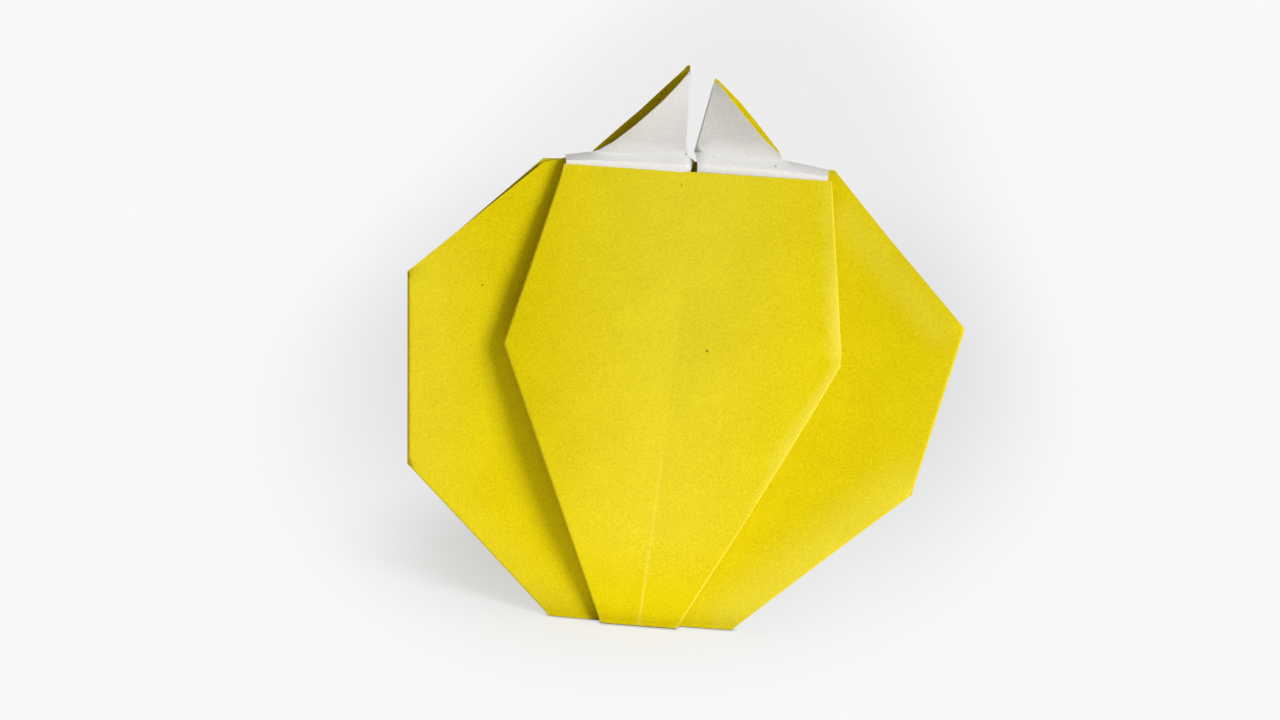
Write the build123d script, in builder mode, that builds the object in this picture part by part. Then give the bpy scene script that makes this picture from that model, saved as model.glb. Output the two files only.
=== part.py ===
"""Origami bell pepper: one square of two-colour paper, folded from a square base and stood on its tip.

The sheet is drawn upright, with +X to the viewer's right, +Y away from the viewer and +Z up, and is then leant
back onto its folded tip. Each layer of paper runs from the middle line out to the side and bows in its height:
its depth (Y) is given at three heights on the middle line and at the same heights at the side. The layers of the
front panel also swell between the two, so that its upright crease lies in a shallow valley.
"""

import os
from dataclasses import dataclass, replace
from math import sqrt

from build123d import *

# Paper and stance
paper_side = 150.0  # the square before folding
paper_thickness = 0.15
lean_angle = 8.0  # how far the standing pepper leans back
tip_fold = 13.9  # from the closed point of the square base to the bottom crease
foot_front = 5.0  # from the bottom crease back to the origin, along the foot
foot_thickness = 0.3  # the tip's layers, pressed flat

# Layers that lie on one another
layer_pitch = 0.3
fold_width = 0.3  # how much of a folded edge the turn of the paper closes
panel_swell = 0.55  # how far each half of the front panel bulges
panel_top = 69.15  # height of the front panel's top fold on the middle line
back_top = 70.4  # height of the back panel's top fold on the middle line
back_overhang = 0.5  # how far the back panel stands above the wings at the shoulders

# Stem points
stem_room = 0.35  # between the two layers of a stem point, at its crease
stem_lean = 1.2  # how far a stem point's tip comes forward of its crease
stem_curl = 0.05  # how far a stem point curls in its height
pleat_height = 0.5  # the pressed pleat that the stem points rise from
slit_top = 69.0  # height at which the slit between the halves of the collar widens to the upright folds

@dataclass
class Side:
    """One half. A corner is given as distance from the middle line and height above the bottom crease."""

    hand: int  # -1 is the viewer's left, 1 the right
    shoulder: tuple
    side_top: tuple
    side_low: tuple
    base: tuple
    panel_shoulder: tuple
    panel_wide: tuple
    panel_base: tuple
    strip_end: tuple  # outer end of the collar that shows above the front panel
    strip_inner: tuple
    stem_base: tuple
    stem_inner: tuple
    stem_tip: tuple
    upright_fold: float  # from the middle line
    stem_bulge: float  # how far the front of the stem point bows away from its back
    front_sag: float  # how far the front's sloping edge hangs below a straight line
    back_sag: float


left = Side(
    hand=-1,
    shoulder=(22.2, 68.3),
    side_top=(40.5, 50.4),
    side_low=(37.9, 21.6),
    base=(14.65, 0.0),
    panel_shoulder=(19.2, 68.55),
    panel_wide=(25.5, 41.5),
    panel_base=(6.8, 0.0),
    strip_end=(19.1, 69.65),
    strip_inner=(0.1, 70.6),
    stem_base=(14.95, 70.55),
    stem_inner=(1.28, 71.3),
    stem_tip=(2.4, 84.2),
    upright_fold=0.62,
    stem_bulge=1.75,
    front_sag=0.8,
    back_sag=0.1,
)
right = Side(
    hand=1,
    shoulder=(21.2, 70.7),
    side_top=(43.5, 49.4),
    side_low=(38.6, 23.3),
    base=(13.8, 0.0),
    panel_shoulder=(20.5, 69.75),
    panel_wide=(24.3, 43.9),
    panel_base=(4.9, 0.0),
    strip_end=(19.9, 71.2),
    strip_inner=(0.3, 70.3),
    stem_base=(13.1, 72.0),
    stem_inner=(0.05, 72.1),
    stem_tip=(1.62, 83.05),
    upright_fold=0.35,
    stem_bulge=1.0,
    front_sag=0.25,
    back_sag=-0.45,
)

# Heights at which the depths of a layer are given
base_height = -1.5
middle_height = 35.0
top_height = max(corner[1] for half in (left, right) for corner in (half.stem_base, half.stem_inner)) + 0.9

# Places that the square base gives
half_diagonal = paper_side / (2 * sqrt(2))
side_tip = (half_diagonal, half_diagonal - tip_fold)
top_corner_height = 2 * half_diagonal - tip_fold
hem_tip_height = paper_side / 2 - tip_fold
panel_reach = max(left.panel_wide[0], right.panel_wide[0]) + 0.5  # just past the front panel's widest corners
far = 40.0  # deeper than the whole pepper


@dataclass
class Layer:
    """Depths of one layer of paper at three heights, on the middle line and out at its reach."""

    middle: tuple
    side: tuple
    heights: tuple = (base_height, middle_height, top_height)
    reach: float = half_diagonal
    swell: float = 0.0  # how far it bulges forward, half-way out

    def behind(self, distance):
        """The same layer, set back."""
        middle = tuple(d + distance for d in self.middle)
        side = tuple(d + distance for d in self.side)
        return replace(self, middle=middle, side=side)

    def sections(self):
        """Distances from the middle line, each with the depths there."""
        halfway = [(m + s) / 2 for m, s in zip(self.middle, self.side)]
        halfway[1] -= self.swell
        return [(0.0, self.middle), (self.reach / 2, halfway), (self.reach, self.side)]

    def depth(self, corner):
        """Depth at a corner, taking the bow as a parabola."""
        (h0, h1, h2), (u, w) = self.heights, corner
        weights = (
            (w - h1) * (w - h2) / ((h0 - h1) * (h0 - h2)),
            (w - h0) * (w - h2) / ((h1 - h0) * (h1 - h2)),
            (w - h0) * (w - h1) / ((h2 - h0) * (h2 - h1)),
        )
        middle = sum(k * d for k, d in zip(weights, self.middle))
        side = sum(k * d for k, d in zip(weights, self.side))
        return middle + (side - middle) * u / self.reach


front_layer = Layer(middle=(-0.9, -3.8, -0.5), side=(-0.9, -2.6, -0.6), reach=panel_reach, swell=panel_swell)
flap_layer = front_layer.behind(layer_pitch)
collar_layer = front_layer.behind(2 * layer_pitch)
hem_layer = front_layer.behind(3 * layer_pitch)
wing_layer = Layer(middle=(-0.2, 0.9, 0.5), side=(1.2, -0.5, 0.6))
back_layer = Layer(middle=(-0.1, 3.5, 2.0), side=(1.2, -0.2, 0.8))
back_flap_layer = back_layer.behind(-layer_pitch)
corner_layer = Layer(middle=(3.0, 6.4, 5.0), side=(1.2, -0.5, 0.5))


def on_line(start, end, height):
    """The point at a height on the line through two corners."""
    share = (height - start[1]) / (end[1] - start[1])
    return (start[0] + share * (end[0] - start[0]), height)


def folded_over(point, start, end):
    """Where a point comes to lie when the paper is folded over on the crease through two corners."""
    crease = Vector(end) - Vector(start)
    arm = Vector(point) - Vector(start)
    across = crease * (arm.dot(crease) / crease.dot(crease)) - arm
    return ((Vector(point) + across * 2).X, (Vector(point) + across * 2).Y)


def sagged(start, end, sag):
    """The middle of an edge that runs up towards the middle line, moved inwards by a sag."""
    along = (Vector(end) - Vector(start)).normalized()
    middle = (Vector(start) + Vector(end)) * 0.5
    return (middle.X - sag * along.Y, middle.Y + sag * along.X)


def below(corner):
    """A corner of the bottom crease, carried down through the floor."""
    return (corner[0], base_height)


def edge_band(*corners, inward=(-fold_width, 0.0)):
    """A narrow outline inside a folded edge. The corners run along the edge."""
    inner = [(u + inward[0], w + inward[1]) for u, w in reversed(corners)]
    return [*corners, *inner]


def slab(layer, side, outline, front=0.0, back=paper_thickness, bend=None):
    """The part of a layer inside an outline, from its front to its back. A bend makes the first edge an arc."""
    with BuildPart() as piece:
        for place, depths in layer.sections():
            with BuildSketch(Plane.YZ.offset(side.hand * place)):
                with BuildLine():
                    near = ThreePointArc(*[(d + front, h) for d, h in zip(depths, layer.heights)])
                    away = ThreePointArc(*[(d + back, h) for d, h in zip(depths, layer.heights)])
                    Line(near @ 0, away @ 0)
                    Line(near @ 1, away @ 1)
                make_face()
        loft()
        with BuildSketch(Plane.XZ):
            with BuildLine():
                corners = [(side.hand * u, w) for u, w in outline]
                if bend:
                    ThreePointArc(corners[0], (side.hand * bend[0], bend[1]), corners[1])
                    Polyline(*corners[1:], corners[0])
                else:
                    Polyline(*corners, close=True)
            make_face()
        extrude(amount=far, both=True, mode=Mode.INTERSECT)
    return piece.part


def fold(front, back, side, outline):
    """The turn of the paper at a folded edge, which closes the room between two layers."""
    with BuildPart() as turn:
        add(slab(front, side, outline, back=far / 2))
        add(slab(back, side, outline, front=-far / 2), mode=Mode.INTERSECT)
    return turn.part


def front_panel(side):
    """Half of the front panel, its hidden edges and the collar that shows above it."""
    base, wide, shoulder = side.panel_base, side.panel_wide, side.panel_shoulder
    middle_top = (0.0, panel_top)
    slit = [side.stem_inner, side.strip_inner, (side.upright_fold, slit_top), (side.upright_fold, base_height)]
    share = (top_corner_height - base[0] - base[1]) / (wide[0] - base[0] + wide[1] - base[1])
    kite_corner = on_line(base, wide, base[1] + share * (wide[1] - base[1]))
    hem_corner = on_line(shoulder, folded_over(kite_corner, shoulder, wide), hem_tip_height)
    edge = (below(base), base, wide, shoulder)
    hem_end = [hem_corner, (side.upright_fold, hem_tip_height), (side.upright_fold, base_height)]
    return [
        slab(front_layer, side, [below((0.0, 0.0)), *edge, middle_top]),
        slab(flap_layer, side, [middle_top, shoulder, (0.0, 2 * panel_top - top_corner_height)]),
        slab(collar_layer, side, [*edge, side.strip_end, side.stem_base, *slit]),
        slab(hem_layer, side, [*edge, *hem_end]),
        fold(front_layer, hem_layer, side, edge_band(*edge)),
        fold(front_layer, flap_layer, side, edge_band(shoulder, middle_top, inward=(0.0, -fold_width))),
    ]


def gusset(side):
    """The wing that shows beside the front panel, and the fold that joins it to the collar."""
    edge = (below(side.base), side.base, side.side_low, side.side_top, side.shoulder)
    upright = [(side.upright_fold, slit_top), (side.upright_fold, base_height)]
    pleat = edge_band(side.stem_base, side.stem_inner, inward=(0.0, -pleat_height))
    return [
        slab(wing_layer, side, [*edge, side.stem_base, side.stem_inner, *upright]),
        fold(collar_layer, wing_layer, side, edge_band(*upright, inward=(paper_thickness, 0.0))),
        fold(collar_layer, wing_layer, side, pleat),
    ]


def back_panel(side):
    """Half of the back panel, its top corner folded in and its side corner folded onto it."""
    shoulder = (side.shoulder[0], side.shoulder[1] + back_overhang)
    middle_top = (0.0, back_top)
    edge = (below(side.base), side.base, side.side_low, side.side_top, shoulder)
    corner = folded_over(side_tip, side.side_top, side.side_low)
    return [
        slab(back_layer, side, [below((0.0, 0.0)), *edge, middle_top]),
        slab(back_flap_layer, side, [middle_top, shoulder, (0.0, 2 * back_top - top_corner_height)]),
        slab(corner_layer, side, [side.side_top, side.side_low, corner]),
        fold(back_flap_layer, back_layer, side, edge_band(shoulder, middle_top, inward=(0.0, -fold_width))),
        fold(wing_layer, back_layer, side, edge_band(*edge[:3])),
        fold(wing_layer, corner_layer, side, edge_band(side.side_low, side.side_top)),
    ]


def stem(side):
    """One stem point: two layers joined at the upright fold, the front one bowed open along the slope."""
    inner, base, tip = side.stem_inner, side.stem_base, side.stem_tip
    low = min(base[1], inner[1]) - pleat_height
    heights = (low, (low + tip[1]) / 2, tip[1] + fold_width)
    back_line = tuple(wing_layer.depth(inner) - step for step in (0.0, stem_lean / 2 + stem_curl, stem_lean))
    front_line = tuple(d - stem_room for d in back_line)
    slope = 4 * side.stem_bulge / (base[0] - tip[0])
    folded_line = tuple(d + share * slope * tip[0] for d, share in zip(front_line, (0.0, 0.5, 1.0)))
    bowed_line = tuple(d - share * slope * base[0] for d, share in zip(folded_line, (0.0, 0.5, 1.0)))
    front = Layer(folded_line, bowed_line, heights, base[0])
    back = Layer(back_line, back_line, heights, base[0])
    down = -0.8 * pleat_height
    foot = (inner[0], inner[1] + down)
    outline = [tip, base, (base[0], base[1] + down), foot, inner]
    return [
        slab(front, side, outline, bend=sagged(base, tip, side.front_sag)),
        slab(back, side, outline, bend=sagged(base, tip, side.back_sag)),
        fold(front, back, side, edge_band(foot, inner, tip, inward=(fold_width, 0.0))),
    ]


pieces = []
for half in (left, right):
    pieces += front_panel(half) + gusset(half) + back_panel(half) + stem(half)

with BuildPart() as folded_sheet:
    with Locations((0, -foot_front, 0)):
        for piece in pieces:
            add(piece, rotation=(-lean_angle, 0, 0))
    split(bisect_by=Plane.XY, keep=Keep.TOP)
    with BuildSketch(Plane.XY):
        for layer, corners in (
            (front_layer, (left.panel_base, right.panel_base)),
            (wing_layer, (left.base, right.base)),
        ):
            fold_line = [
                (-corners[0][0], layer.depth(corners[0])),
                (0.0, layer.depth((0.0, 0.0))),
                (corners[1][0], layer.depth(corners[1])),
            ]
            with BuildLine():
                Polyline(*[(u, d - foot_front) for u, d in fold_line], (0.0, tip_fold - foot_front), close=True)
            make_face()
    extrude(amount=foot_thickness)

folded_sheet.part.label = "folded_sheet"
os.makedirs("parts", exist_ok=True)
export_step(folded_sheet.part, "parts/folded_sheet.step")
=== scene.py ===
"""Origami bell pepper: the folded sheet at full detail, its paper, the studio and the camera.

The sheet is worked out upright and in millimetres, as u across (to the viewer's right), w up and d
in depth (away from the viewer), then leant back onto its foot. A surface is an outline in (u, w)
with a depth; where two surfaces share a folded edge, both curve to the same line, so that the paper
runs round the fold in one piece.
"""

import math

import bmesh
import bpy
from mathutils import Matrix, Vector, noise
from mathutils.geometry import delaunay_2d_cdt, intersect_point_line


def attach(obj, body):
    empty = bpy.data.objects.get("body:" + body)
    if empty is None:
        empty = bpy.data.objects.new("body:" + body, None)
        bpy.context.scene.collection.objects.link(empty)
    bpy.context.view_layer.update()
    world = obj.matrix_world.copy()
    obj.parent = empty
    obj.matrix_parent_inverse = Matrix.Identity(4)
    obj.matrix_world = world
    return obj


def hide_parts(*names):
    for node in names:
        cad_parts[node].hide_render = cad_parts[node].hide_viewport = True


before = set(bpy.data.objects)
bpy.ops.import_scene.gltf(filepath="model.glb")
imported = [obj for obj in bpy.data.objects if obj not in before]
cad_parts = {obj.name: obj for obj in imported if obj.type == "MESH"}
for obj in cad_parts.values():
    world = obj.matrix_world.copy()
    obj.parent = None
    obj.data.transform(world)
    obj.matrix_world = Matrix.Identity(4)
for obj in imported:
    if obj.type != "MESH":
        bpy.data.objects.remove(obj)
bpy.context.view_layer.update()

MM = 0.001

# Paper and stance
PAPER_SIDE = 150.0
PAPER_THICKNESS = 0.13
LEAN = math.radians(8.0)
TIP_FOLD = 13.9  # length of the closed tip, which is folded back as the foot
FOOT_FRONT = 5.0  # from the bottom fold to the middle of the foot
FLOOR_CLEARANCE = 0.12  # under the layers behind the front panel
PITCH = 0.2  # spacing of layers that lie on one another

# Half the square base's diagonal, and heights of the sheet's corners above the bottom fold
HALF_DIAGONAL = PAPER_SIDE / (2 * math.sqrt(2))
TOP_CORNER = 2 * HALF_DIAGONAL - TIP_FOLD
HEM_TIP = PAPER_SIDE / 2 - TIP_FOLD

# Folds: how wide the paper turns, and how pale it is there, as worn ink and painted highlight
ROUND_WIDE = 0.45  # the wings' sides
ROUND_PANEL = 0.3  # the front panel's sides
ROUND_TIGHT = 0.3  # the body's other folds
ROUND_STEM = 0.18
FOLD_WEAR_AND_HIGHLIGHT = 0.3
PANEL_WEAR_AND_HIGHLIGHT = {-1: 0.12, 1: 0.5}  # the front panel's left and right sides; the right side's is mostly painted highlight, where its fold turns to the light

# Mesh
EDGE_STEP = 1.2
GRID = 1.9
GRID_ROW = 0.87  # from one row of the grid to the next, of its spacing
FOLD_ROWS = (0.06, 0.2, 0.42, 0.7, 1.0, 1.6)  # distances from a fold, of its width
CREASE_ROWS = (-0.3, -0.1, 0.0, 0.1, 0.3)  # distances from a crease
ROW_TIMES, ROW_SPARE = 1.02, 0.03  # a fold's row keeps off other edges by its gap times, plus
SAME_EDGE = 1e-4  # a fold this near an edge lies on it
PROBE = 0.01  # a step that tells which side of an edge is inside
MESH_TOLERANCE = 1e-5
WELD = 0.004  # points this near one another are joined
SHARP_ANGLE = math.radians(38.0)


class Half:
    """Corners of one side of the pepper, as (distance from the middle, height)."""

    def __init__(self, hand, **corners):
        self.hand = hand
        for name, (u, w) in corners.items():
            setattr(self, name, (hand * u, w))


left = Half(
    -1,
    shoulder=(22.2, 68.3),
    side_top=(40.5, 50.4),
    side_low=(37.9, 21.6),
    base=(14.55, 0.0),
    panel_shoulder=(19.2, 68.55),
    panel_wide=(25.5, 41.8),
    panel_wide_low=(25.45, 41.2),
    panel_base=(6.8, 0.0),
    strip_end=(19.1, 69.65),
    strip_end_low=(18.75, 67.6),
    strip_inner=(0.1, 70.6),
    stem_base=(14.95, 70.55),
    stem_inner=(1.28, 71.3),
    stem_tip=(2.4, 84.55),
)
right = Half(
    1,
    shoulder=(21.2, 70.7),
    side_top=(43.5, 49.4),
    side_low=(38.6, 23.3),
    base=(13.5, 0.0),
    panel_shoulder=(20.5, 69.75),
    panel_wide=(24.7, 44.4),
    panel_wide_low=(24.8, 42.4),
    panel_base=(4.9, 0.0),
    strip_end=(19.9, 71.2),
    strip_end_low=(19.85, 68.8),
    strip_inner=(0.3, 70.3),
    stem_base=(13.1, 72.0),
    stem_inner=(-0.1, 72.1),
    stem_tip=(1.42, 83.0),
)

# The front panel's upright crease
CREASE_TOP = (0.35, 69.15)
CREASE_BOTTOM = (-1.0, 0.0)

# The back panel's upper edges
BACK_TOP = 70.4
BACK_OVERHANG = 0.5  # of its shoulders over the wings'
BACK_INSET = 0.5  # of its side corners inside the wings'
BACK_TURN_IN = (1.2, 0.4)  # from its side corners to the turned-in edges' ends, across and up
NOTCH_SHARE = 0.92  # where they meet the folded-in corner, of the shoulders' distance


# Lines and places


def smooth(x):
    """From nought to one, with a soft start and end."""
    x = min(1.0, max(0.0, x))
    return x * x * (3 - 2 * x)


def eased(w, top, ease):
    """From nought at the bottom fold up to one, and back to nought at a top height."""
    return smooth(w / ease[0]) * smooth((top - w) / ease[1])


def on_line(start, end, w):
    """The point at a height on the line through two corners."""
    share = (w - start[1]) / (end[1] - start[1])
    return (start[0] + share * (end[0] - start[0]), w)


def top_line(start, end, u):
    """The height at a distance across on the line through two corners."""
    share = (u - start[0]) / (end[0] - start[0])
    return start[1] + share * (end[1] - start[1])


def edge_at(run, w):
    """Distance across at a height on a run of corners that rises."""
    for a, b in zip(run, run[1:]):
        if a[1] <= w <= b[1]:
            return on_line(a, b, w)[0]
    return run[0][0] if w < run[0][1] else run[-1][0]


def folded_over(point, start, end):
    """Where a point comes to lie when the paper is folded over on a crease."""
    foot = intersect_point_line(Vector(point), Vector(start), Vector(end))[0]
    over = 2 * foot - Vector(point)
    return (over.x, over.y)


def inset(point, across, up=0.0):
    """A corner moved towards the middle line."""
    return (point[0] - math.copysign(across, point[0]), point[1] + up)


def mirror_run(hand, run):
    """Corners at distances from the middle, on the side of a hand."""
    return [(hand * u, w) for u, w in run]


def edge_points(start, end):
    """Evenly spaced points along an edge, without its end."""
    start, end = Vector(start), Vector(end)
    count = max(1, round((end - start).length / EDGE_STEP))
    return [start.lerp(end, k / count) for k in range(count)]


def points_along(run):
    """Evenly spaced points along a run of corners, with both its ends."""
    return [p for a, b in zip(run, run[1:]) for p in edge_points(a, b)] + [Vector(run[-1])]


def edge_distance(point, start, end):
    """Distance from a point to an edge between two corners."""
    near, share = intersect_point_line(point, start, end)
    near = start if share < 0 else end if share > 1 else near
    return (point - near.to_2d()).length


def clear_of(point, edges, gap):
    """Whether a point lies further than a gap from all of some edges."""
    return all(edge_distance(point, a, b) > gap for a, b in edges)


def inside(point, outline):
    """Whether a point lies within an outline."""
    hit = False
    for a, b in zip(outline, outline[1:] + outline[:1]):
        if (a.y > point.y) != (b.y > point.y):
            if point.x < a.x + (point.y - a.y) / (b.y - a.y) * (b.x - a.x):
                hit = not hit
    return hit


def place(u, d, w):
    """From the upright sheet to the standing pepper, in metres."""
    y = d * math.cos(LEAN) + w * math.sin(LEAN) - FOOT_FRONT
    z = w * math.cos(LEAN) - d * math.sin(LEAN)
    return Vector((u, y, z)) * MM


# Unevenness of a sheet folded by hand, broad and fine: spread, height and a place in the noise
RIPPLES = ((22.0, 0.28, 3.7), (7.0, 0.05, 8.1))


def ripple(u, w):
    """How far the sheet is uneven, the same for layers that lie together."""
    return sum(
        height * noise.noise(Vector((u / spread, w / spread, at))) for spread, height, at in RIPPLES
    )


def on_sheet(depth, u, w):
    """A point of a layer on the standing pepper."""
    return place(u, depth(u, w) + ripple(u, w), w)


# Depths of the layers

HEIGHTS = (-1.5, 35.0, 73.0)  # where a layer's depths are given
PILLOW = 0.55  # how far each half of the front panel bulges
PILLOW_REACH = 25.0  # from the crease to the bulge's far side
PILLOW_EASE = (25.0, 24.0)  # heights over which it sets in at the bottom and dies away at the top
HEM_DROP = 0.5  # how far below the top fold the hems begin to part from the panel
HEM_EASE = (4.0, 4.0)  # heights over which they part
CUP = 0.6  # how far the right wing is hollowed between the front panel's edge and its own
CUP_START = 1.5  # how far behind the panel's edge that begins
CUP_LEAST = 1.0  # the hollow's least width
CUP_EASE = (25.0, 20.0)  # as for the bulge
CUP_PEAK = 27 / 4  # brings share * (1 - share) ** 2 to one at its deepest


def bow(depths, w):
    """A layer's depth at a height, through the depths at the three heights."""
    h0, h1, h2 = HEIGHTS
    return (
        depths[0] * (w - h1) * (w - h2) / ((h0 - h1) * (h0 - h2))
        + depths[1] * (w - h0) * (w - h2) / ((h1 - h0) * (h1 - h2))
        + depths[2] * (w - h0) * (w - h1) / ((h2 - h0) * (h2 - h1))
    )


def layer(middle, side):
    """Depth of a layer that runs straight across from the middle line to the side tips."""

    def depth(u, w):
        near, far = bow(middle, w), bow(side, w)
        return near + (far - near) * abs(u) / HALF_DIAGONAL

    return depth


def behind(depth, distance):
    """A layer at a distance behind another."""
    return lambda u, w: depth(u, w) + distance


front_plain = layer(middle=(-0.9, -3.8, -0.5), side=(-0.9, -1.4, -0.7))
collar_plain = behind(front_plain, 2 * PITCH)
wing_plain = layer(middle=(-0.2, 0.9, 0.5), side=(1.2, -0.5, 0.6))
back = layer(middle=(-0.1, 3.5, 2.0), side=(1.2, -0.2, 0.8))
back_flap = behind(back, -PITCH)
corner_flap = layer(middle=(3.0, 6.4, 5.0), side=(1.2, -0.5, 0.5))


def crease_at(w):
    """Where the front panel's upright crease runs."""
    share = w / CREASE_TOP[1]
    return CREASE_BOTTOM[0] + share * (CREASE_TOP[0] - CREASE_BOTTOM[0])


def front(u, w):
    """The front panel: each half bowed, with a shallow valley at the upright crease."""
    across = u - crease_at(w)
    share = min(1.0, abs(across) / PILLOW_REACH)
    swell = eased(w, CREASE_TOP[1], PILLOW_EASE)
    return front_plain(across, w) - PILLOW * swell * 4 * share * (1 - share)


flap = behind(front, PITCH)


def hem(u, w):
    """The panel's edges turned behind it, pinched where they meet the top and bottom folds."""
    return front(u, w) + PITCH + 2 * PITCH * eased(w, CREASE_TOP[1] - HEM_DROP, HEM_EASE)


def wing(u, w):
    """The wings: the left one straight across, the right one hollowed a little."""
    if u <= 0.0:
        return wing_plain(u, w)
    start = edge_at([right.panel_base, right.panel_wide, right.panel_shoulder], w) - CUP_START
    end = edge_at([right.base, right.side_low, right.side_top, right.shoulder], w)
    share = min(1.0, max(0.0, (u - start) / max(CUP_LEAST, end - start)))
    swell = eased(w, right.shoulder[1], CUP_EASE)
    return wing_plain(u, w) + CUP * swell * CUP_PEAK * share * (1 - share) ** 2


# The sheet as a mesh


class Fold:
    """A folded edge of an outline: the layer that the paper turns to, and how wide the turn is."""

    def __init__(self, start, end, partner, width, worn_and_highlight):
        self.start, self.end = Vector(start), Vector(end)
        self.partner = partner
        self.width = width
        # how pale the fold is: worn ink, and painted highlight
        self.worn_and_highlight = worn_and_highlight

    def distance(self, point):
        return edge_distance(point, self.start, self.end)

    def inward(self, corners):
        """The direction from the fold into an outline."""
        along = (self.end - self.start).normalized()
        side = Vector((-along.y, along.x))
        return side if inside((self.start + self.end) / 2 + side * PROBE, corners) else -side


def folds_along(run, partner, width, worn_and_highlight=FOLD_WEAR_AND_HIGHLIGHT):
    """The folds along a run of corners."""
    return [Fold(a, b, partner, width, worn_and_highlight) for a, b in zip(run, run[1:])]


def nearest(folds, point):
    """The fold that a point is nearest to, by the folds' widths."""
    return min(folds, key=lambda fold: fold.distance(point) / fold.width)


def rounded(depth, folds):
    """A layer's depth where its folded edges curve half-way to the layers that they turn to."""

    def curved(u, w):
        d = depth(u, w)
        if folds:
            fold = nearest(folds, Vector((u, w)))
            share = fold.distance(Vector((u, w))) / fold.width
            if share < 1.0:
                half = 0.5 * (fold.partner(u, w) - d)
                d += half * (1 - math.sqrt(max(0.0, 1 - (1 - share) ** 2)))
        return d

    return curved


def wear_and_highlight_line(run, width, strength):
    """A pale mark (wear, and painted highlight) of a width along a run of corners, as strong at
    every height.
    """
    return (run, width, lambda w: strength)


def painted_light_above(run, width, strength, start, over):
    """A painted light mark that gains its strength upwards, from a height on and over a distance.
    """
    return (run, width, lambda w: strength * smooth((w - start) / over))


def wear_and_highlight_below(run, width, strength, start, over, least=0.0):
    """A pale mark (wear, and painted highlight) that gains its strength downwards, from its least.
    """
    return (run, width, lambda w: least + strength * smooth((start - w) / over))


def wear_and_highlight_at(point, folds, marks):
    """How pale the paper is at a point: wear, and painted highlight."""
    worn_and_highlight = 0.0
    if folds:
        fold = nearest(folds, point)
        worn_and_highlight = fold.worn_and_highlight * (1 - smooth(fold.distance(point) / fold.width / FOLD_ROWS[-1]))
    for run, width, strength in marks:
        gap = min(edge_distance(point, Vector(a), Vector(b)) for a, b in zip(run, run[1:]))
        worn_and_highlight = max(worn_and_highlight, strength(point.y) * (1 - smooth(gap / width)))
    return worn_and_highlight


class Layout:
    """The points and lines in (u, w) that a layer's mesh is made from."""

    def __init__(self, outline):
        self.corners = [Vector(c) for c in outline]
        self.sides = list(zip(self.corners, self.corners[1:] + self.corners[:1]))
        self.points = [p for a, b in self.sides for p in edge_points(a, b)]
        self.rim = list(range(len(self.points)))
        self.lines = [(k, (k + 1) % len(self.rim)) for k in self.rim]

    def add_row(self, row, edges, gap):
        """A line of points, as far as it lies inside and further than a gap from some edges."""
        first = len(self.points)
        self.points += [p for p in row if inside(p, self.corners) and clear_of(p, edges, gap)]
        self.lines += [(k, k + 1) for k in range(first, len(self.points) - 1)]

    def add_folds(self, folds):
        """Rows beside folded edges, which meet on the bisector where two equal folds meet."""
        for before, fold in zip([None, *folds], folds):
            inward = fold.inward(self.corners)
            middle = (fold.start + fold.end) / 2
            others = [(a, b) for a, b in self.sides if edge_distance(middle, a, b) > SAME_EDGE]
            for share in FOLD_ROWS:
                gap = share * fold.width
                if before and before.end == fold.start and before.width == fold.width:
                    other = before.inward(self.corners)
                    mitre = (inward + other) * gap / (1 + inward.dot(other))
                    self.points.append(fold.start + mitre)
                row = [p + inward * gap for p in edge_points(fold.start, fold.end)[1:]]
                self.add_row(row, others, gap * ROW_TIMES + ROW_SPARE)

    def add_creases(self, creases):
        """Rows along and beside creases."""
        for run in creases:
            dense = points_along(run)[:-1]
            across = (Vector(run[-1]) - Vector(run[0])).normalized().orthogonal()
            for offset in CREASE_ROWS:
                self.add_row([p + across * offset for p in dense], self.sides, 0.5 * EDGE_STEP)

    def fill(self, margin, creases):
        """Staggered points inside, clear of the edges' margin and of the creases."""
        lines = [(Vector(a), Vector(b)) for run in creases for a, b in zip(run, run[1:])]
        low = Vector((min(c.x for c in self.corners), min(c.y for c in self.corners)))
        high = Vector((max(c.x for c in self.corners), max(c.y for c in self.corners)))
        staggered = False
        y = low.y + GRID / 2
        while y < high.y:
            x = low.x + (GRID / 2 if staggered else GRID)
            while x < high.x:
                p = Vector((x, y))
                if (
                    inside(p, self.corners)
                    and clear_of(p, self.sides, margin + 0.5 * GRID)
                    and clear_of(p, lines, 0.5 * GRID)
                ):
                    self.points.append(p)
                x += GRID
            y += GRID * GRID_ROW
            staggered = not staggered

    def triangulated(self):
        """The mesh's points and triangles."""
        flat, _, triangles, *_ = delaunay_2d_cdt(
            self.points, self.lines, [self.rim], 1, MESH_TOLERANCE
        )
        return flat, triangles


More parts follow.
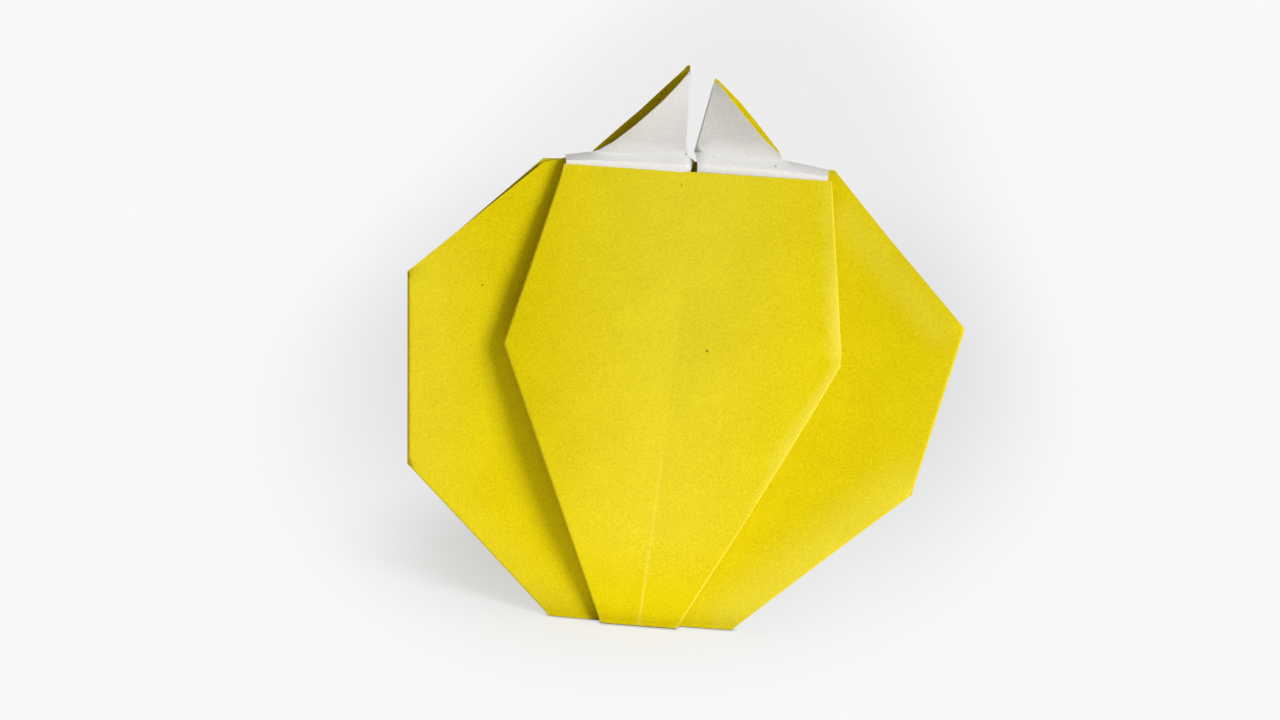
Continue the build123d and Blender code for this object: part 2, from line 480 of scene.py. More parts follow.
class Sheet:
    """The paper as one surface without thickness, its yellow side out."""

    def __init__(self):
        self.mesh = bmesh.new()
        # how pale each point is: wear, and painted highlight
        self.wear_and_highlight = self.mesh.verts.layers.float.new("wear_and_highlight")

    def add(self, points, triangles, wear_and_highlight, turned):
        """Triangles, yellow on the side that they run anticlockwise on, or the other if turned."""
        verts = [self.mesh.verts.new(p) for p in points]
        for vert, amount in zip(verts, wear_and_highlight):
            vert[self.wear_and_highlight] = amount
        for a, b, c in triangles:
            order = (a, c, b) if turned else (a, b, c)
            self.mesh.faces.new([verts[k] for k in order])

    def surface(self, outline, depth, folds=(), creases=(), yellow_front=True, marks=()):
        """A layer inside an outline. The mesh follows its creases; marks are pale lines on it, of
        wear and painted highlight.
        """
        layout = Layout(outline)
        layout.add_folds(folds)
        layout.add_creases(creases)
        layout.fill(max([f.width * FOLD_ROWS[-1] for f in folds], default=0.0), creases)
        flat, triangles = layout.triangulated()
        curved = rounded(depth, folds)
        points = [on_sheet(curved, p.x, p.y) for p in flat]
        wear_and_highlight = [wear_and_highlight_at(p, folds, marks) for p in flat]
        self.add(points, triangles, wear_and_highlight, turned=not yellow_front)

    def strip(self, rows, turned):
        """A band through rows of points, each row with the same count."""
        points = [p for row in rows for p in row]
        count = len(rows[0])
        triangles = []
        for r in range(len(rows) - 1):
            for k in range(count - 1):
                a = r * count + k
                triangles += [(a, a + 1, a + count + 1), (a, a + count + 1, a + count)]
        self.add(points, triangles, [0.0] * len(points), turned)


paper = Sheet()

# Front panel, with its top corner folded in


def panel_edge(h):
    """One side of the front panel, from the bottom up."""
    return [h.panel_base, h.panel_wide_low, h.panel_wide, h.panel_shoulder]


panel_edge_left, panel_edge_right = panel_edge(left), panel_edge(right)
panel_top = [left.panel_shoulder, right.panel_shoulder]
panel_side_folds = [
    fold
    for half in (left, right)
    for fold in folds_along(panel_edge(half), hem, ROUND_PANEL, PANEL_WEAR_AND_HIGHLIGHT[half.hand])
]
panel_crease = [on_line(CREASE_BOTTOM, CREASE_TOP, 0.0), CREASE_TOP]
paper.surface(
    panel_edge_left[::-1] + panel_edge_right,
    front,
    folds=panel_side_folds + folds_along(panel_top, flap, ROUND_TIGHT),
    creases=[panel_crease],
    marks=[
        wear_and_highlight_below(panel_crease, width=0.3, strength=0.42, start=36.0, over=12.0),
        # painted light: the panel paler towards its crease, above its lowest part
        painted_light_above(panel_crease, width=26.0, strength=0.16, start=4.0, over=12.0),
        # painted highlight along the right edge above the widest corner, where the fold turns to
        # the light
        wear_and_highlight_below(
            panel_edge_right[2:], width=2.4, strength=0.4, start=62.0, over=14.0, least=0.25
        ),
        # painted highlight along the right edge below the widest corner
        painted_light_above(panel_edge_right[:2], width=1.5, strength=0.5, start=10.0, over=20.0),
    ],
)
flap_tip = (0.0, 2 * CREASE_TOP[1] - TOP_CORNER)
paper.surface(
    [*panel_top, flap_tip],
    flap,
    folds=folds_along(panel_top, front, ROUND_TIGHT),
    yellow_front=False,
)

# Gussets: the slit between them and the collar's strip above the front panel
INNER = {-1: 0.62, 1: 0.35}  # from the middle line to their upright folds
INNER_BOTTOM = 0.3  # height at which the layers inside the panel begin
SLIT_CLOSE = 0.3  # share of the distance to the middle left where the folds reach the wings
SLIT_TOP = 69.0  # height at which the upright folds end
SLIT_ROWS = 48
COLLAR_INSET = 0.7  # from the panel's edges
COLLAR_DROP = 1.5  # below the panel's shoulders
STRIP_DROP = 0.15  # from the panel's top edge down to where the collar starts to stand out
STRIP_TUCK = 0.3  # how far the wings stay outside the strip's inner corners
RIDGE_AT = 0.45  # share of the strip's height
RIDGE_OUT = 0.3  # how far the strip's ridge stands out
RIDGE_STATIONS = (1.4, 4.5, 8.0, 11.5, 15.0)  # distances from the middle
RIDGE_SHORT = 0.2  # how far it ends before the strip does
RIDGE_HIGHLIGHT = (1.6, 0.9)  # painted highlight on the strip's ridge: width and strength, as for the creases
# painted highlight along the crease at the stem's foot
COLLAR_CREASE_HIGHLIGHT = (0.4, 0.7)

# The wings: the left one's lower edge, lifted behind the panel's corner, and painted highlights on
# them
LEFT_LIFT = 0.9  # height of the left one there
LEFT_LIFT_INNER, LEFT_LIFT_OUTER = 0.8, 1.1  # how far from the corner it is highest, and ends
WING_HIGHLIGHTS = {-1: ((7.0, 0.1), (16.0, 0.13)), 1: ((9.0, 0.28), (5.0, 0.04))}  # painted highlights along the low edge and the side, as width and strength
HIGHLIGHT_BAND = [(23.5, 64.5), (39.5, 49.0)]  # a painted highlight band below the right wing's upper edge
HIGHLIGHT_BAND_MARK = (4.0, 0.17)

# The stem points
STEM_ROOM = 0.35  # between a point's two layers
STEM_PINCH, STEM_PINCH_WIDE = 0.5, 0.6  # share of it left at the inner corner, and how far it opens
STEM_LEAN = -2.4  # from the crease to the tip
# painted highlight along the crease at the stem's foot
STEM_CREASE_HIGHLIGHT = (0.5, 0.7)
TIP_TAPER = 3.0  # height over which the layers come together below the tip
BOW_NARROWEST = 0.3  # least distance from the fold to the slope
BOW_PAST = 1.2  # how far past the slope the bow still grows
BOW_POWER = 1.4  # how steeply it grows towards the slope
# How far each point's layers bow forward and back, the share of that left at the tip, and their
# sloping edges from the crease up, as (distance from the middle, height)
STEMS = {
    -1: dict(
        bulge=2.4,
        back_bulge=1.1,
        tip_share=0.45,
        front_edge=[
            (14.95, 70.55),
            (12.4, 72.5),
            (9.78, 75.15),
            (6.13, 79.25),
            (4.0, 81.95),
            (2.8, 83.55),
            (2.4, 83.95),
        ],
        back_edge=[
            (15.2, 70.6),
            (8.75, 77.4),
            (3.2, 83.95),
            (2.9, 84.45),
            (2.6, 84.65),
            (2.36, 84.5),
        ],
    ),
    1: dict(
        bulge=1.0,
        back_bulge=0.8,
        tip_share=0.0,
        front_edge=[
            (13.1, 72.0),
            (12.27, 73.0),
            (9.51, 75.1),
            (5.8, 78.6),
            (3.2, 81.15),
            (1.45, 82.95),
        ],
        back_edge=[
            (13.1, 72.0),
            (12.3, 73.35),
            (8.95, 76.8),
            (5.8, 79.85),
            (1.75, 83.05),
            (1.48, 83.1),
        ],
    ),
}


def slit_edge(h):
    """Where a wing starts, beside the middle line."""
    return h.hand * INNER[h.hand] * SLIT_CLOSE


def bottom_run(h):
    """A wing's bottom edge, from the middle out."""
    run = [(slit_edge(h), FLOOR_CLEARANCE), (h.base[0], FLOOR_CLEARANCE)]
    if h is left:
        run[1:1] = [
            (h.panel_base[0] + LEFT_LIFT_INNER, LEFT_LIFT),
            (h.panel_base[0] - LEFT_LIFT_OUTER, FLOOR_CLEARANCE),
        ]
    return run


def wing_low_folds(h):
    """A wing's lower fold, where the paper turns to the back panel."""
    return folds_along([bottom_run(h)[-1], h.side_low], back, ROUND_TIGHT)


def crease_height(h, u):
    """Height of the crease that a stem point rises from."""
    return top_line(h.stem_inner, h.stem_base, u)


def strip_low(u):
    """Height at which the collar's strip begins."""
    return top_line(*panel_top, u) - STRIP_DROP


def strip_top(h, u):
    """Height of the collar's upper edge."""
    run = [h.strip_inner, h.stem_inner, h.stem_base, h.strip_end]
    for a, b in zip(run, run[1:]):
        if h.hand * a[0] <= h.hand * u <= h.hand * b[0]:
            return top_line(a, b, u)
    return h.strip_inner[1] if abs(u) < abs(h.stem_inner[0]) else h.strip_end[1]


def collar_of(h):
    """A gusset's front layer: flat behind the panel, over a soft ridge and to the stem's crease."""

    def depth(u, w):
        low, high = strip_low(u), strip_top(h, u)
        share = (w - low) / (high - low)
        if share <= 0:
            return collar_plain(u, w)
        start = collar_plain(u, low)
        ridge = start - RIDGE_OUT
        if share < RIDGE_AT:
            return start + (ridge - start) * smooth(share / RIDGE_AT)
        opening = smooth(h.hand * (u - h.stem_inner[0]) / STEM_PINCH_WIDE)
        room = STEM_ROOM * (STEM_PINCH + (1 - STEM_PINCH) * opening)
        crease = wing(u, high) - room
        return ridge + (crease - ridge) * ((share - RIDGE_AT) / (1 - RIDGE_AT))

    return depth


def stem_bowed(h, bulge, tip_share, edge):
    """How far a stem layer bows: most along its slope, not at its crease and upright fold."""

    def amount(u, w):
        foot = crease_height(h, u)
        share = min(1.0, max(0.0, (w - foot) / (h.stem_tip[1] - foot)))
        fold = on_line(h.stem_inner, h.stem_tip, w)[0]
        reach = max(BOW_NARROWEST, abs(edge_at(edge, w) - fold))
        out = min(BOW_PAST, abs(u - fold) / reach)
        past = max(0.0, 2 * share - 1)
        rise = 1 - (1 - tip_share) * past ** 2 if past else 4 * share * (1 - share)
        return bulge * rise * out ** BOW_POWER

    return amount


def stem_layers(h):
    """A stem point's front and back layers, as depths, and the corners of their sloping edges."""
    facts = STEMS[h.hand]
    front_edge = mirror_run(h.hand, facts["front_edge"])
    back_edge = mirror_run(h.hand, facts["back_edge"])
    forward = stem_bowed(h, facts["bulge"], facts["tip_share"], front_edge)
    backward = stem_bowed(h, facts["back_bulge"], facts["tip_share"], back_edge)

    def upright(u, w):
        foot = crease_height(h, u)
        share = (w - foot) / (h.stem_tip[1] - foot)
        return wing(u, foot) + STEM_LEAN * max(0.0, share)

    def front_depth(u, w):
        room = STEM_ROOM * smooth((h.stem_tip[1] - w) / TIP_TAPER)
        return upright(u, w) - room - forward(u, w)

    def back_depth(u, w):
        return upright(u, w) + backward(u, w)

    return front_depth, back_depth, front_edge, back_edge


def hem_of(h):
    """The front panel's edge turned behind it."""
    base, wide = h.panel_base, h.panel_wide_low
    reach = h.hand * (wide[0] - base[0])
    share = (TOP_CORNER - h.hand * base[0] - base[1]) / (reach + wide[1] - base[1])
    kite_corner = on_line(base, wide, base[1] + share * (wide[1] - base[1]))
    turned_in = folded_over(kite_corner, h.panel_shoulder, h.panel_wide)
    inner = h.hand * INNER[h.hand]
    edge = panel_edge(h)
    paper.surface(
        [
            *edge,
            on_line(h.panel_shoulder, turned_in, HEM_TIP),
            (inner, HEM_TIP),
            (inner, INNER_BOTTOM),
        ],
        hem,
        folds=folds_along(edge, front, ROUND_PANEL),
        yellow_front=False,
    )


def collar_surface(h, collar, crease):
    """The gusset's white front layer, with the strip that shows above the front panel."""
    inner = h.hand * INNER[h.hand]
    ridge = [
        (u, strip_low(u) + RIDGE_AT * (strip_top(h, u) - strip_low(u)))
        for u in (h.hand * x for x in (*RIDGE_STATIONS, abs(h.strip_end[0]) - RIDGE_SHORT))
    ]
    paper.surface(
        [
            (inner, INNER_BOTTOM),
            inset(h.panel_base, COLLAR_INSET, INNER_BOTTOM),
            inset(h.panel_wide_low, COLLAR_INSET),
            inset(h.panel_wide, COLLAR_INSET),
            inset(h.panel_shoulder, COLLAR_INSET, -COLLAR_DROP),
            h.strip_end_low,
            on_line(h.strip_end_low, h.strip_end, ridge[-1][1]),
            h.strip_end,
            h.stem_base,
            h.stem_inner,
            h.strip_inner,
            (inner, SLIT_TOP),
        ],
        collar,
        creases=[ridge],
        yellow_front=False,
        # painted highlights on the ridge and along the stem's crease
        marks=[wear_and_highlight_line(ridge, *RIDGE_HIGHLIGHT), wear_and_highlight_line(crease, *COLLAR_CREASE_HIGHLIGHT)],
    )


def stem_surfaces(h, crease):
    """A stem point's two layers, which share its upright fold."""
    front_depth, back_depth, front_edge, back_edge = stem_layers(h)
    fold_run = [h.stem_inner, front_edge[-1]]
    paper.surface(
        [h.stem_inner, *front_edge],
        front_depth,
        folds=folds_along(fold_run, back_depth, ROUND_STEM),
        yellow_front=False,
        # painted highlight along the crease
        marks=[wear_and_highlight_line(crease, *STEM_CREASE_HIGHLIGHT)],
    )
    paper.surface(
        [h.stem_inner, *back_edge, front_edge[-1]],
        back_depth,
        folds=folds_along(fold_run, front_depth, ROUND_STEM),
    )


def wing_surfaces(h):
    """A wing, and the side corner folded over behind it."""
    lower_edge = [bottom_run(h)[-1], h.side_low]
    side_edge = [h.side_low, h.side_top]
    edge_highlights = zip((lower_edge, side_edge), WING_HIGHLIGHTS[h.hand])
    paper.surface(
        [
            *bottom_run(h),
            h.side_low,
            h.side_top,
            h.shoulder,
            h.stem_base,
            h.stem_inner,
            (h.strip_inner[0] + h.hand * STRIP_TUCK, h.strip_inner[1]),
            (slit_edge(h), SLIT_TOP),
        ],
        wing,
        folds=wing_low_folds(h) + folds_along(side_edge, corner_flap, ROUND_WIDE),
        # painted highlights along the edges, and a painted highlight band
        marks=[wear_and_highlight_line(edge, *mark) for edge, mark in edge_highlights] + [wear_and_highlight_line(HIGHLIGHT_BAND, *HIGHLIGHT_BAND_MARK)],
    )
    side_tip = (h.hand * HALF_DIAGONAL, HALF_DIAGONAL - TIP_FOLD)
    paper.surface(
        [*side_edge, folded_over(side_tip, *side_edge)],
        corner_flap,
        folds=folds_along(side_edge, wing, ROUND_WIDE),
        yellow_front=False,
    )


def gusset(h):
    """One side's collar, stem point and wing, and the fold between them beside the slit."""
    collar = collar_of(h)
    crease = [h.stem_inner, h.stem_base]
    collar_surface(h, collar, crease)
    stem_surfaces(h, crease)
    wing_surfaces(h)
    inner, outer = h.hand * INNER[h.hand], slit_edge(h)
    rise = SLIT_TOP - INNER_BOTTOM
    heights = [INNER_BOTTOM + k * rise / SLIT_ROWS for k in range(SLIT_ROWS + 1)]
    near = [on_sheet(collar, inner, w) for w in heights]
    far = [on_sheet(wing, outer, w) for w in heights]
    paper.strip([near, far], turned=h.hand < 0)


for half in (left, right):
    hem_of(half)
    gusset(half)

# Back panel, with its top corner and upper edges folded in
BACK_CREASE_RUBBED = (0.5, 0.5)
back_low = [(half.base[0], FLOOR_CLEARANCE) for half in (left, right)]
back_shoulders = [
    (half.shoulder[0], half.shoulder[1] + BACK_OVERHANG) for half in (left, right)
]
back_rim = [
    inset(left.side_top, BACK_INSET),
    back_shoulders[0],
    (0.0, BACK_TOP),
    back_shoulders[1],
    inset(right.side_top, BACK_INSET),
]
back_flap_tip = (0.0, 2 * BACK_TOP - TOP_CORNER)
back_notches = [
    (NOTCH_SHARE * shoulder[0], top_line(shoulder, back_flap_tip, NOTCH_SHARE * shoulder[0]))
    for shoulder in back_shoulders
]
back_crease = [(0.0, FLOOR_CLEARANCE), (0.0, BACK_TOP)]
back_low_folds = [
    fold
    for half, low in zip((left, right), back_low)
    for fold in folds_along([low, half.side_low], wing, ROUND_TIGHT)
]
paper.surface(
    [back_low[0], left.side_low, *back_rim, right.side_low, back_low[1]],
    back,
    folds=back_low_folds + folds_along(back_rim, back_flap, ROUND_TIGHT),
    creases=[back_crease],
    marks=[wear_and_highlight_line(back_crease, *BACK_CREASE_RUBBED)],
    yellow_front=False,
)
paper.surface(
    [
        *back_rim,
        inset(back_rim[-1], *BACK_TURN_IN),
        back_notches[1],
        back_flap_tip,
        back_notches[0],
        inset(back_rim[0], *BACK_TURN_IN),
    ],
    back_flap,
    folds=folds_along(back_rim, back, ROUND_TIGHT),
)

# Foot: the closed tip folded back, the front panel's part undermost. Each layer turns round the
# bottom fold by steps of (back, height), then narrows to the tip at its last height.
FOOT_TIP = Vector((0.0, TIP_FOLD - FOOT_FRONT, 0.0)) * MM
FOOT_ROWS = 8
FOOT_BLUNT = 0.5  # how much of a row is left off at the tip
FOOT_STEEPNESS = 6.0  # how fast a bottom edge that is lifted comes down, by step back
PANEL_TURN = ((0.12, 0.11), (0.35, 0.07), (0.8, 0.02), (1.4, 0.0))
WING_TURN = ((0.06, 0.11), (0.15, 0.1), (0.8, 0.12), (1.5, 0.2))
BACK_TURN = ((0.3, 0.32), (0.9, 0.42))


def foot_layer(run, depth, turn, turned):
    """A layer's part of the foot, from its bottom edge to the closed tip."""
    rows = [[on_sheet(depth, p.x, p.y) for p in points_along(run)]]
    for step, height in turn:
        lift = max(0.0, 1.0 - FOOT_STEEPNESS * step)
        rows.append(
            [Vector((p.x, p.y + step * MM, max(height * MM, lift * p.z))) for p in rows[0]]
        )
    start = rows[-1]
    tip = FOOT_TIP + Vector((0.0, 0.0, turn[-1][1] * MM))
    for k in range(1, FOOT_ROWS + 1):
        rows.append([p.lerp(tip, k / (FOOT_ROWS + FOOT_BLUNT)) for p in start])
    paper.strip(rows, turned)


foot_layer(
    [left.panel_base, right.panel_base],
    rounded(front, panel_side_folds),
    PANEL_TURN,
    turned=True,
)
for half in (left, right):
    foot_layer(
        bottom_run(half),
        rounded(wing, wing_low_folds(half)),
        WING_TURN,
        turned=half.hand > 0,
    )
foot_layer(back_low[::-1], rounded(back, back_low_folds), BACK_TURN, turned=True)

bmesh.ops.remove_doubles(paper.mesh, verts=paper.mesh.verts[:], dist=WELD * MM)
sheet_mesh = bpy.data.meshes.new("folded_paper")
paper.mesh.to_mesh(sheet_mesh)
paper.mesh.free()
piece = bpy.data.objects.new("folded_paper", sheet_mesh)
bpy.context.scene.collection.objects.link(piece)

# The thickness of the paper, inwards, with the white side and the cut edge as further materials
thick = piece.modifiers.new("paper", "SOLIDIFY")
thick.thickness = PAPER_THICKNESS * MM
thick.offset = -1.0
thick.material_offset = 1
thick.material_offset_rim = 2


def srgb(r, g, b):
    """A colour written as 8-bit screen values, in linear light."""

    def linear(value):
        c = value / 255
        return ((c + 0.055) / 1.055) ** 2.4 if c > 0.04045 else c / 12.92

    return (linear(r), linear(g), linear(b), 1.0)


class Look:
    """A node material around one Principled shader."""

    def __init__(self, name):
        self.material = bpy.data.materials.new(name)
        self.material.use_nodes = True
        self.tree = self.material.node_tree
        self.shader = self.tree.nodes["Principled BSDF"]
        self.where = self.node("ShaderNodeTexCoord").outputs["Object"]

    def node(self, kind, **settings):
        made = self.tree.nodes.new(kind)
        for name, value in settings.items():
            setattr(made, name, value)
        return made

    def link(self, source, target):
        self.tree.links.new(source, target)

    def set_sheen(self, roughness, specular):
        self.shader.inputs["Roughness"].default_value = roughness
        self.shader.inputs["Specular IOR Level"].default_value = specular

    def noise(self, scale, detail, rough):
        made = self.node("ShaderNodeTexNoise")
        made.inputs["Scale"].default_value = scale
        made.inputs["Detail"].default_value = detail
        made.inputs["Roughness"].default_value = rough
        self.link(self.where, made.inputs["Vector"])
        return made.outputs["Fac"]

    def scattered(self, scale, size):
        """One near scattered points, within a size in units of their spacing, else nought."""
        made = self.node("ShaderNodeTexVoronoi")
        made.inputs["Scale"].default_value = scale
        self.link(self.where, made.inputs["Vector"])
        return self.math("LESS_THAN", made.outputs["Distance"], size)

    def distance(self, point):
        made = self.node("ShaderNodeVectorMath", operation="DISTANCE")
        self.link(self.where, made.inputs[0])
        made.inputs[1].default_value = point
        return made.outputs["Value"]

    def math(self, operation, *values, clamp=False):
        made = self.node("ShaderNodeMath", operation=operation, use_clamp=clamp)
        for value, socket in zip(values, made.inputs):
            if isinstance(value, (int, float)):
                socket.default_value = value
            else:
                self.link(value, socket)
        return made.outputs[0]

    def ramp(self, source, *stops):
        made = self.node("ShaderNodeValToRGB")
        while len(made.color_ramp.elements) < len(stops):
            made.color_ramp.elements.new(0.5)
        for element, (at, colour) in zip(made.color_ramp.elements, stops):
            element.position = at
            element.color = colour
        self.link(source, made.inputs["Fac"])
        return made.outputs["Color"]

    def mix(self, share, a, b):
        made = self.node("ShaderNodeMix", data_type="RGBA")
        for value, name in ((share, "Factor_Float"), (a, "A_Color"), (b, "B_Color")):
            socket = next(s for s in made.inputs if s.identifier == name)
            if isinstance(value, tuple):
                socket.default_value = value
            else:
                self.link(value, socket)
        return next(s for s in made.outputs if s.identifier == "Result_Color")

    def bump(self, height, strength, distance):
        made = self.node("ShaderNodeBump")
        made.inputs["Strength"].default_value = strength
        made.inputs["Distance"].default_value = distance
        self.link(height, made.inputs["Height"])
        self.link(made.outputs["Normal"], self.shader.inputs["Normal"])

    def attribute(self, name):
        return self.node("ShaderNodeAttribute", attribute_name=name).outputs["Fac"]


# Paper: fibre grain and a broader cloudiness as noise, per metre
GRAIN = dict(scale=3800.0, detail=3.0, rough=0.6)
CLOUD = dict(scale=160.0, detail=3.0, rough=0.55)
CLOUD_SHARE = 0.2
TONE_STOPS = (0.36, 0.5, 0.64)  # where the noise gives the dark, plain and pale tone
WEAR_AND_HIGHLIGHT_GRAIN, WEAR_AND_HIGHLIGHT_LEAST = 1.2, 0.5  # how strongly the grain breaks up the wear and painted highlight
FLECKS, FLECK_SIZE, FLECK_STRENGTH = 95.0, 0.016, 0.6  # scattered pale flecks
SPECKS, SPECK_SIZE, SPECK_STRENGTH = 75.0, 0.014, 0.7  # scattered dark specks
PAPER_ROUGHNESS, PAPER_SPECULAR = 0.62, 0.05
GRAIN_BUMP, GRAIN_HEIGHT = 0.12, 0.06 * MM

# Dark marks on the front panel and inside the left stem point, each with its radius
PANEL_DOTS = [((4.4, 43.2), 0.2), ((-1.74, 67.0), 0.12)]
STEM_DOTS = [((-6.3, 79.15), 0.14), ((-5.95, 80.05), 0.18), ((-5.5, 80.6), 0.15)]


def dots_on(depth, dots):
    """Dots on a layer, as places on the standing pepper and radii."""
    return [(on_sheet(depth, *at), radius) for at, radius in dots]


def paper_look(name, dark, plain, pale, worn_and_highlight, speck, dots=()):
    """Uncoated paper: fibre grain, a faint cloudiness, worn folds with painted highlights, and a
    few specks.
    """
    look = Look(name)
    grain = look.noise(**GRAIN)
    cloud = look.noise(**CLOUD)
    tone = look.math(
        "ADD",
        look.math("MULTIPLY", grain, 1 - CLOUD_SHARE),
        look.math("MULTIPLY", cloud, CLOUD_SHARE),
    )
    colour = look.ramp(tone, *zip(TONE_STOPS, (dark, plain, pale)))
    # wear and painted highlight: the pale colour mixed in where the mesh is marked
    broken_up = look.math("MULTIPLY_ADD", grain, WEAR_AND_HIGHLIGHT_GRAIN, WEAR_AND_HIGHLIGHT_LEAST)
    colour = look.mix(
        look.math("MULTIPLY", look.attribute("wear_and_highlight"), broken_up, clamp=True), colour, worn_and_highlight
    )
    fleck = look.scattered(FLECKS, FLECK_SIZE)
    colour = look.mix(look.math("MULTIPLY", fleck, FLECK_STRENGTH), colour, worn_and_highlight)
    spot = look.scattered(SPECKS, SPECK_SIZE)
    for middle, radius in dots:
        dot = look.math("LESS_THAN", look.distance(middle), radius * MM)
        spot = look.math("MAXIMUM", spot, dot)
    colour = look.mix(look.math("MULTIPLY", spot, SPECK_STRENGTH), colour, speck)
    look.link(colour, look.shader.inputs["Base Color"])
    look.set_sheen(PAPER_ROUGHNESS, PAPER_SPECULAR)
    look.bump(grain, GRAIN_BUMP, GRAIN_HEIGHT)
    return look.material


yellow_side = paper_look(
    "paper_yellow_side",
    dark=srgb(219, 198, 0),
    plain=srgb(230, 210, 3),
    pale=srgb(239, 221, 12),
    # pale colour for worn ink, painted highlights and flecks
    worn_and_highlight=srgb(250, 236, 96),
    speck=srgb(92, 78, 18),
    dots=dots_on(front, PANEL_DOTS) + dots_on(stem_layers(left)[1], STEM_DOTS),
)
white_side = paper_look(
    "paper_white_side",
    dark=srgb(206, 206, 206),
    plain=srgb(213, 213, 214),
    pale=srgb(221, 221, 222),
    # pale colour for painted highlights and flecks
    worn_and_highlight=srgb(245, 245, 246),
    speck=srgb(150, 145, 135),
)
cut_edge = paper_look(
    "paper_cut_edge",
    dark=srgb(232, 226, 190),
    plain=srgb(238, 232, 205),
    pale=srgb(243, 240, 222),
    worn_and_highlight=srgb(245, 243, 230),
    speck=srgb(150, 145, 120),
)

for material in (yellow_side, white_side, cut_edge):
    piece.data.materials.append(material)
piece.data.shade_smooth()
bpy.context.view_layer.update()
evaluated = piece.evaluated_get(bpy.context.evaluated_depsgraph_get())
solid = bpy.data.meshes.new_from_object(evaluated)
piece.modifiers.clear()
piece.data = solid
solid.name = "folded_paper"
solid.set_sharp_from_angle(angle=SHARP_ANGLE)
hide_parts("folded_sheet")
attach(piece, "root")

# Studio, in metres
FLOOR_HALF = 3.0
FLOOR_COLOUR = srgb(240, 240, 240)
FLOOR_ROUGHNESS, FLOOR_SPECULAR = 0.9, 0.1
FAR_GLOW = 0.945  # how bright the camera sees the floor
# The soft shade behind the object: an ellipse that leans away to the right
SHADE_MIDDLE = (-0.0025, 0.16)
SHADE_SLANT = 0.165
SHADE_WIDE, SHADE_FRONT, SHADE_BACK = 0.089, 0.21, 0.7
SHADE_SPAN = (0.45, 1.0)
SHADE_NEAR, SHADE_FAR = 0.24, 0.1  # how deep it is near the object and far behind it
SHADE_EASE = (0.13, 0.33)
# The lamp's shadow, seen around the foot
SHADOW_MIDDLE = (-0.008, 0.015, 0.0)
SHADOW_SPAN = (0.012, 0.045)
SHADOW_SHARE = 0.4
LIT_FLOOR = 0.66
# reach of the painted contact shade under the paper
CONTACT_SHADE_REACH = 0.0008
WORLD_COLOUR = (1.0, 0.93, 0.78, 1.0)
WORLD_STRENGTH = 0.17
KEY = dict(position=(2.43, -2.04, 1.52), target=(0.0, 0.0, 0.035), size=(1.7, 1.7), power=100.0)
BOUNCE = dict(
    position=(0.0, -0.083, 0.001), target=(0.0, -0.083, 1.0), size=(0.3, 0.15), power=0.072
)
BOUNCE_COLOUR = (1.0, 0.93, 0.75)  # light that the floor sends up in front of the object

floor_mesh = bpy.data.meshes.new("floor")
floor_mesh.from_pydata(
    [(x * FLOOR_HALF, y * FLOOR_HALF, 0) for x, y in ((-1, -1), (1, -1), (1, 1), (-1, 1))],
    [],
    [(0, 1, 2, 3)],
)
floor = bpy.data.objects.new("floor", floor_mesh)
bpy.context.scene.collection.objects.link(floor)


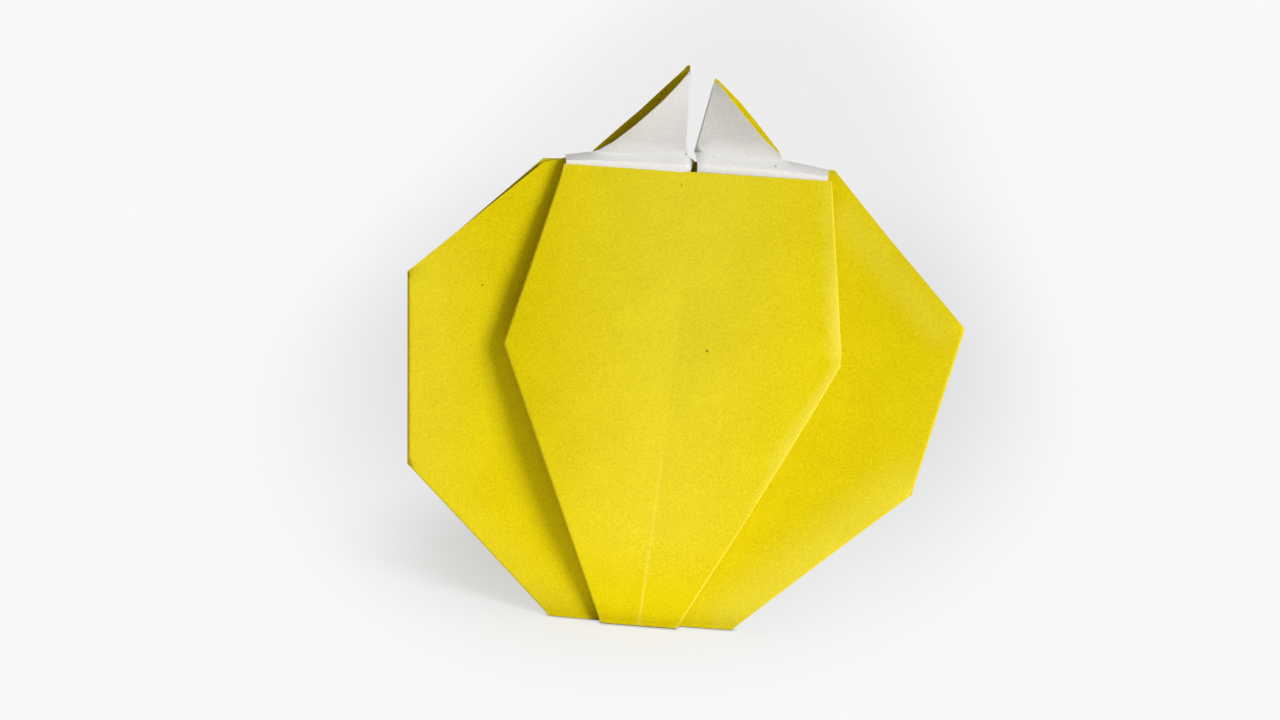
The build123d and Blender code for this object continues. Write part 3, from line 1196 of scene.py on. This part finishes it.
def floor_material():
    """A pale floor that the camera sees as nearly white, with the object's shadow around it."""
    look = Look("floor")
    look.shader.inputs["Base Color"].default_value = FLOOR_COLOUR
    look.set_sheen(FLOOR_ROUGHNESS, FLOOR_SPECULAR)

    def fade(value, span):
        made = look.node("ShaderNodeMapRange", interpolation_type="SMOOTHSTEP")
        look.link(value, made.inputs["Value"])
        made.inputs["From Min"].default_value, made.inputs["From Max"].default_value = span
        made.inputs["To Min"].default_value, made.inputs["To Max"].default_value = 1.0, 0.0
        return made.outputs["Result"]

    # How far the soft shade goes, as a distance in its ellipse
    axes = look.node("ShaderNodeSeparateXYZ")
    look.link(look.where, axes.inputs[0])
    x, y = axes.outputs["X"], axes.outputs["Y"]
    aside = look.math("SUBTRACT", x, SHADE_MIDDLE[0])
    aside = look.math("SUBTRACT", aside, look.math("MULTIPLY", y, SHADE_SLANT))
    deep = look.math("SUBTRACT", y, SHADE_MIDDLE[1])
    reach = look.node("ShaderNodeCombineXYZ")
    for value, span, socket in zip(
        (aside, look.math("MINIMUM", deep, 0.0), look.math("MAXIMUM", deep, 0.0)),
        (SHADE_WIDE, SHADE_FRONT, SHADE_BACK),
        reach.inputs,
    ):
        look.link(look.math("DIVIDE", value, span), socket)
    length = look.node("ShaderNodeVectorMath", operation="LENGTH")
    look.link(reach.outputs[0], length.inputs[0])
    shade = fade(length.outputs["Value"], SHADE_SPAN)
    depth = look.math("MULTIPLY", fade(y, SHADE_EASE), SHADE_NEAR - SHADE_FAR)
    depth = look.math("ADD", depth, SHADE_FAR)

    # What the camera sees: a glow less the shade, with some of it left to the lamp near the foot
    lit = look.math("MULTIPLY", fade(look.distance(SHADOW_MIDDLE), SHADOW_SPAN), SHADOW_SHARE)
    seen = look.node("ShaderNodeBsdfDiffuse")
    look.link(lit, seen.inputs["Color"])
    glow = look.math("SUBTRACT", FAR_GLOW, look.math("MULTIPLY", shade, depth))
    glow = look.math("SUBTRACT", glow, look.math("MULTIPLY", lit, LIT_FLOOR))
    # painted contact shade: the floor's glow darkens where the paper comes near it
    contact_shade = look.node("ShaderNodeAmbientOcclusion")
    contact_shade.inputs["Distance"].default_value = CONTACT_SHADE_REACH
    light = look.node("ShaderNodeEmission")
    look.link(look.math("MULTIPLY", glow, contact_shade.outputs["AO"]), light.inputs["Strength"])
    both = look.node("ShaderNodeAddShader")
    look.link(seen.outputs[0], both.inputs[0])
    look.link(light.outputs[0], both.inputs[1])

    path = look.node("ShaderNodeLightPath")
    shown = look.math("MAXIMUM", path.outputs["Is Camera Ray"], path.outputs["Is Glossy Ray"])
    shown = look.math("MAXIMUM", shown, path.outputs["Is Transmission Ray"])
    choice = look.node("ShaderNodeMixShader")
    look.link(shown, choice.inputs[0])
    look.link(look.shader.outputs[0], choice.inputs[1])
    look.link(both.outputs[0], choice.inputs[2])
    look.link(choice.outputs[0], look.tree.nodes["Material Output"].inputs["Surface"])
    return look.material


floor_mesh.materials.append(floor_material())

world = bpy.data.worlds.new("studio")
world.use_nodes = True
world.node_tree.nodes["Background"].inputs["Color"].default_value = WORLD_COLOUR
world.node_tree.nodes["Background"].inputs["Strength"].default_value = WORLD_STRENGTH
bpy.context.scene.world = world


def area_light(name, position, target, size, power):
    """A lamp of a width and height, facing a target."""
    data = bpy.data.lights.new(name, "AREA")
    data.shape = "ELLIPSE"
    data.size, data.size_y = size
    data.energy = power
    lamp = bpy.data.objects.new(name, data)
    lamp.location = position
    facing = Vector(target) - Vector(position)
    lamp.rotation_euler = facing.to_track_quat("-Z", "Y").to_euler()
    bpy.context.scene.collection.objects.link(lamp)
    return lamp


area_light("key", **KEY)
bounce = area_light("bounce", **BOUNCE)
bounce.data.color = BOUNCE_COLOUR
bounce.visible_camera = False

# Camera, from a fit of the sheet's corners to the photograph
CAMERA_TARGET = Vector((0.0, 0.0, 0.035))
CAMERA_DISTANCE = 0.4
CAMERA_YAW = math.radians(-7.256)
CAMERA_ELEVATION = math.radians(18.0)
CAMERA_ROLL = math.radians(-7.271)
FOCAL_PIXELS = 2675.9
PHOTO_WIDTH = 1280
AIM_OFFSET = (-29.2, 35.6)  # pixels from the fitted axis to the picture's middle, right and up
SENSOR = 36.0
CLIP_START = 0.01

away = Vector((
    math.sin(CAMERA_YAW) * math.cos(CAMERA_ELEVATION),
    -math.cos(CAMERA_YAW) * math.cos(CAMERA_ELEVATION),
    math.sin(CAMERA_ELEVATION),
))
level = Vector((math.cos(CAMERA_YAW), math.sin(CAMERA_YAW), 0.0))
upright = away.cross(level)
across = math.cos(CAMERA_ROLL) * level - math.sin(CAMERA_ROLL) * upright
upward = math.sin(CAMERA_ROLL) * level + math.cos(CAMERA_ROLL) * upright
view_back = (away * FOCAL_PIXELS - across * AIM_OFFSET[0] - upward * AIM_OFFSET[1]).normalized()
view_right = (across - view_back * across.dot(view_back)).normalized()
view_up = view_back.cross(view_right)
camera_data = bpy.data.cameras.new("camera")
camera_data.sensor_width = SENSOR
camera_data.lens = FOCAL_PIXELS / PHOTO_WIDTH * SENSOR
camera_data.clip_start = CLIP_START
camera = bpy.data.objects.new("camera", camera_data)
camera_turn = Matrix((view_right, view_up, view_back)).transposed().to_4x4()
camera.matrix_world = Matrix.Translation(CAMERA_TARGET + away * CAMERA_DISTANCE) @ camera_turn
bpy.context.scene.collection.objects.link(camera)
bpy.context.scene.camera = camera
bpy.context.scene.view_settings.view_transform = "Standard"

bpy.context.view_layer.update()
